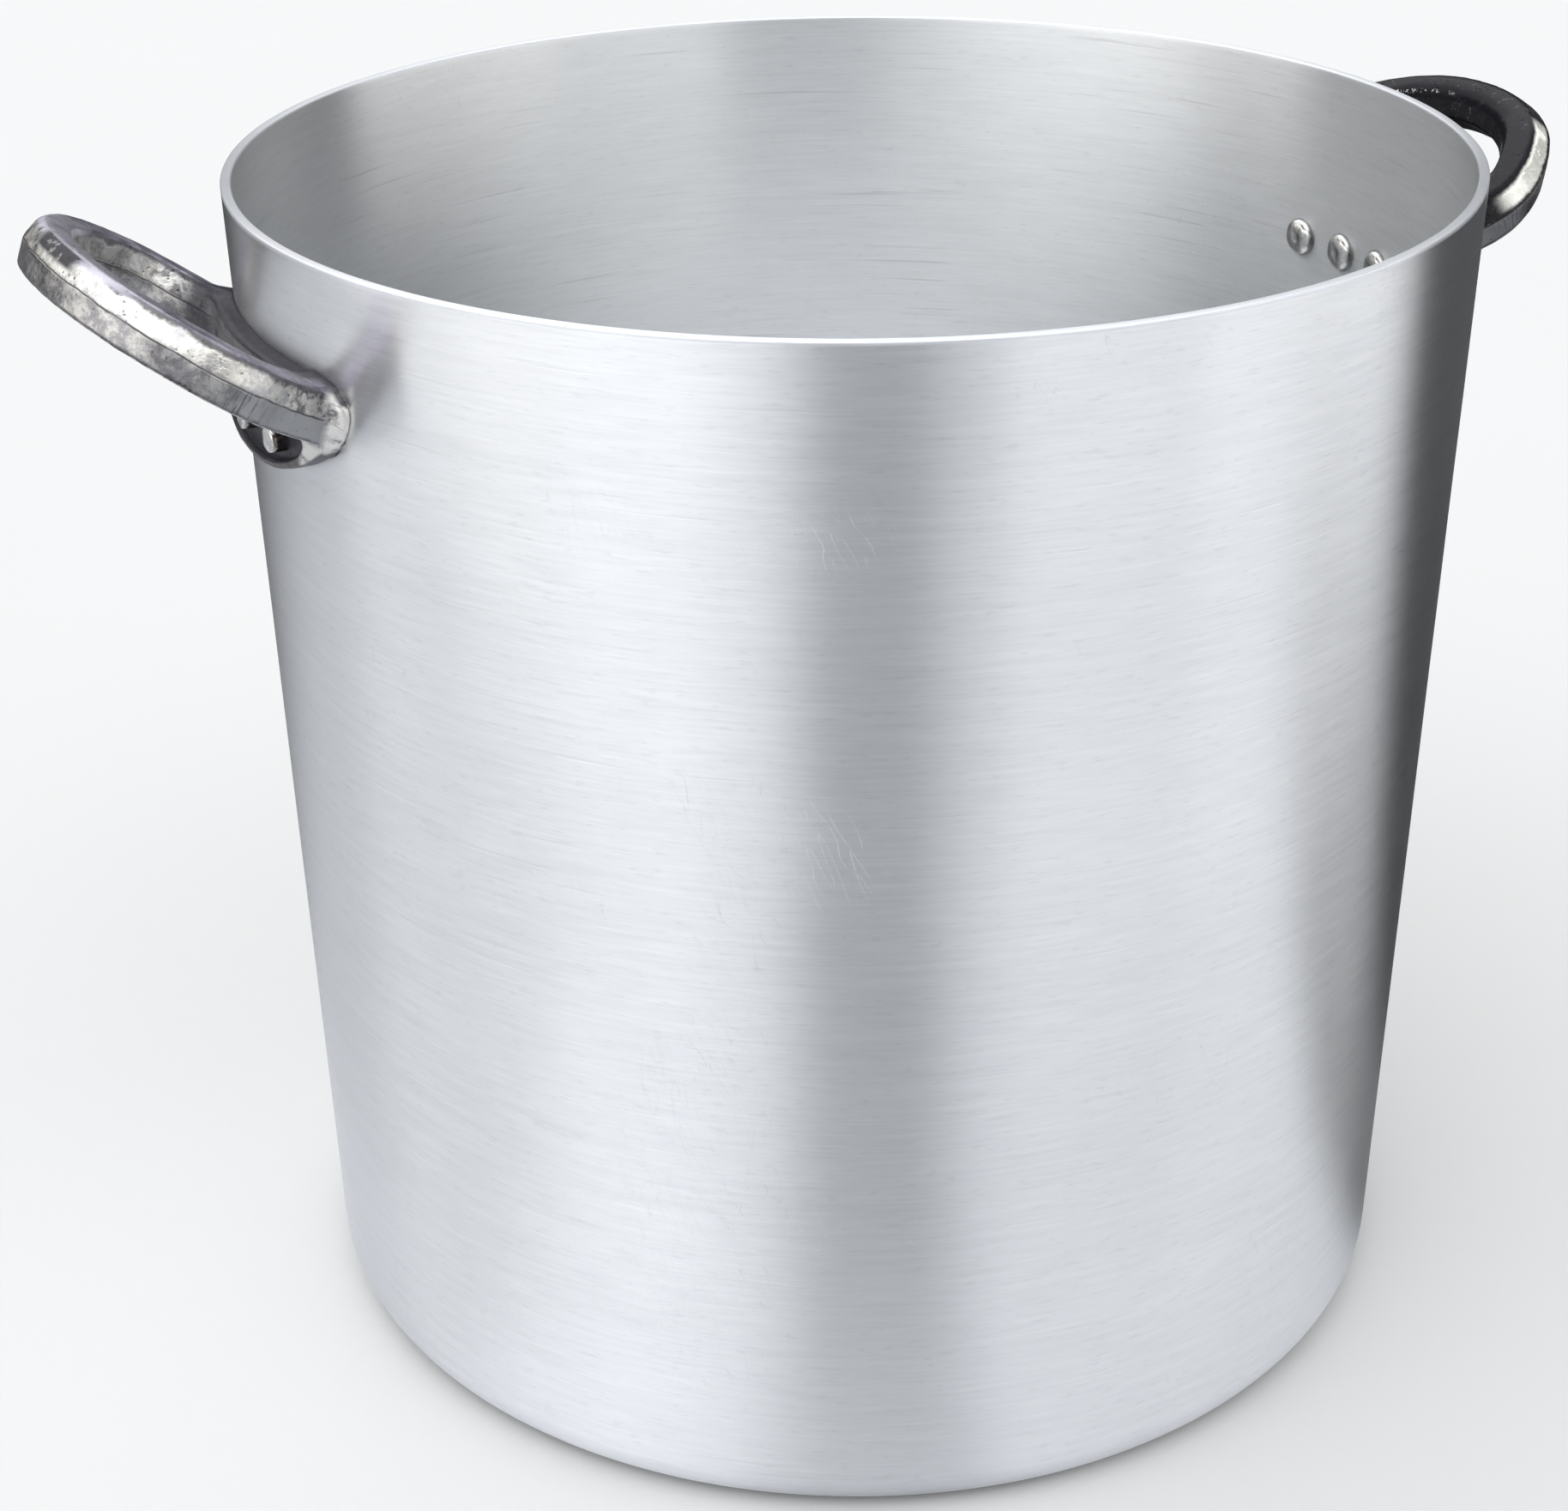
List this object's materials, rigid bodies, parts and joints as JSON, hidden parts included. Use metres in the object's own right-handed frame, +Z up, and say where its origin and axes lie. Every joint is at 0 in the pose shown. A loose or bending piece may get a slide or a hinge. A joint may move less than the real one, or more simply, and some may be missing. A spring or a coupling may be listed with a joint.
{
  "type": "stock pot",
  "caption": "Tall open cooking vessel with a flat base, a slightly tapering wall and upswept ring handles riveted on opposite sides.",
  "frame": {"origin": "centre of the flat base, where the pot rests on the hob", "axes": "+Z up out of the mouth along the vessel's axis; the handles lie on +X and -X"},
  "size_m": [0.4807, 0.366, 0.3689],
  "materials": {
    "pot_aluminium": "satin, brushed around the axis inside and out",
    "handle_metal": "tumbled and polished casting, pitted surface",
    "rivet_metal": "polished"
  },
  "bodies": {
    "root": {"pot_body": "pot_aluminium", "handle_left": "handle_metal", "handle_right": "handle_metal", "rivet_left_front": "rivet_metal", "rivet_left_centre": "rivet_metal", "rivet_left_back": "rivet_metal", "rivet_right_front": "rivet_metal", "rivet_right_centre": "rivet_metal", "rivet_right_back": "rivet_metal"}
  },
  "joints": []
}
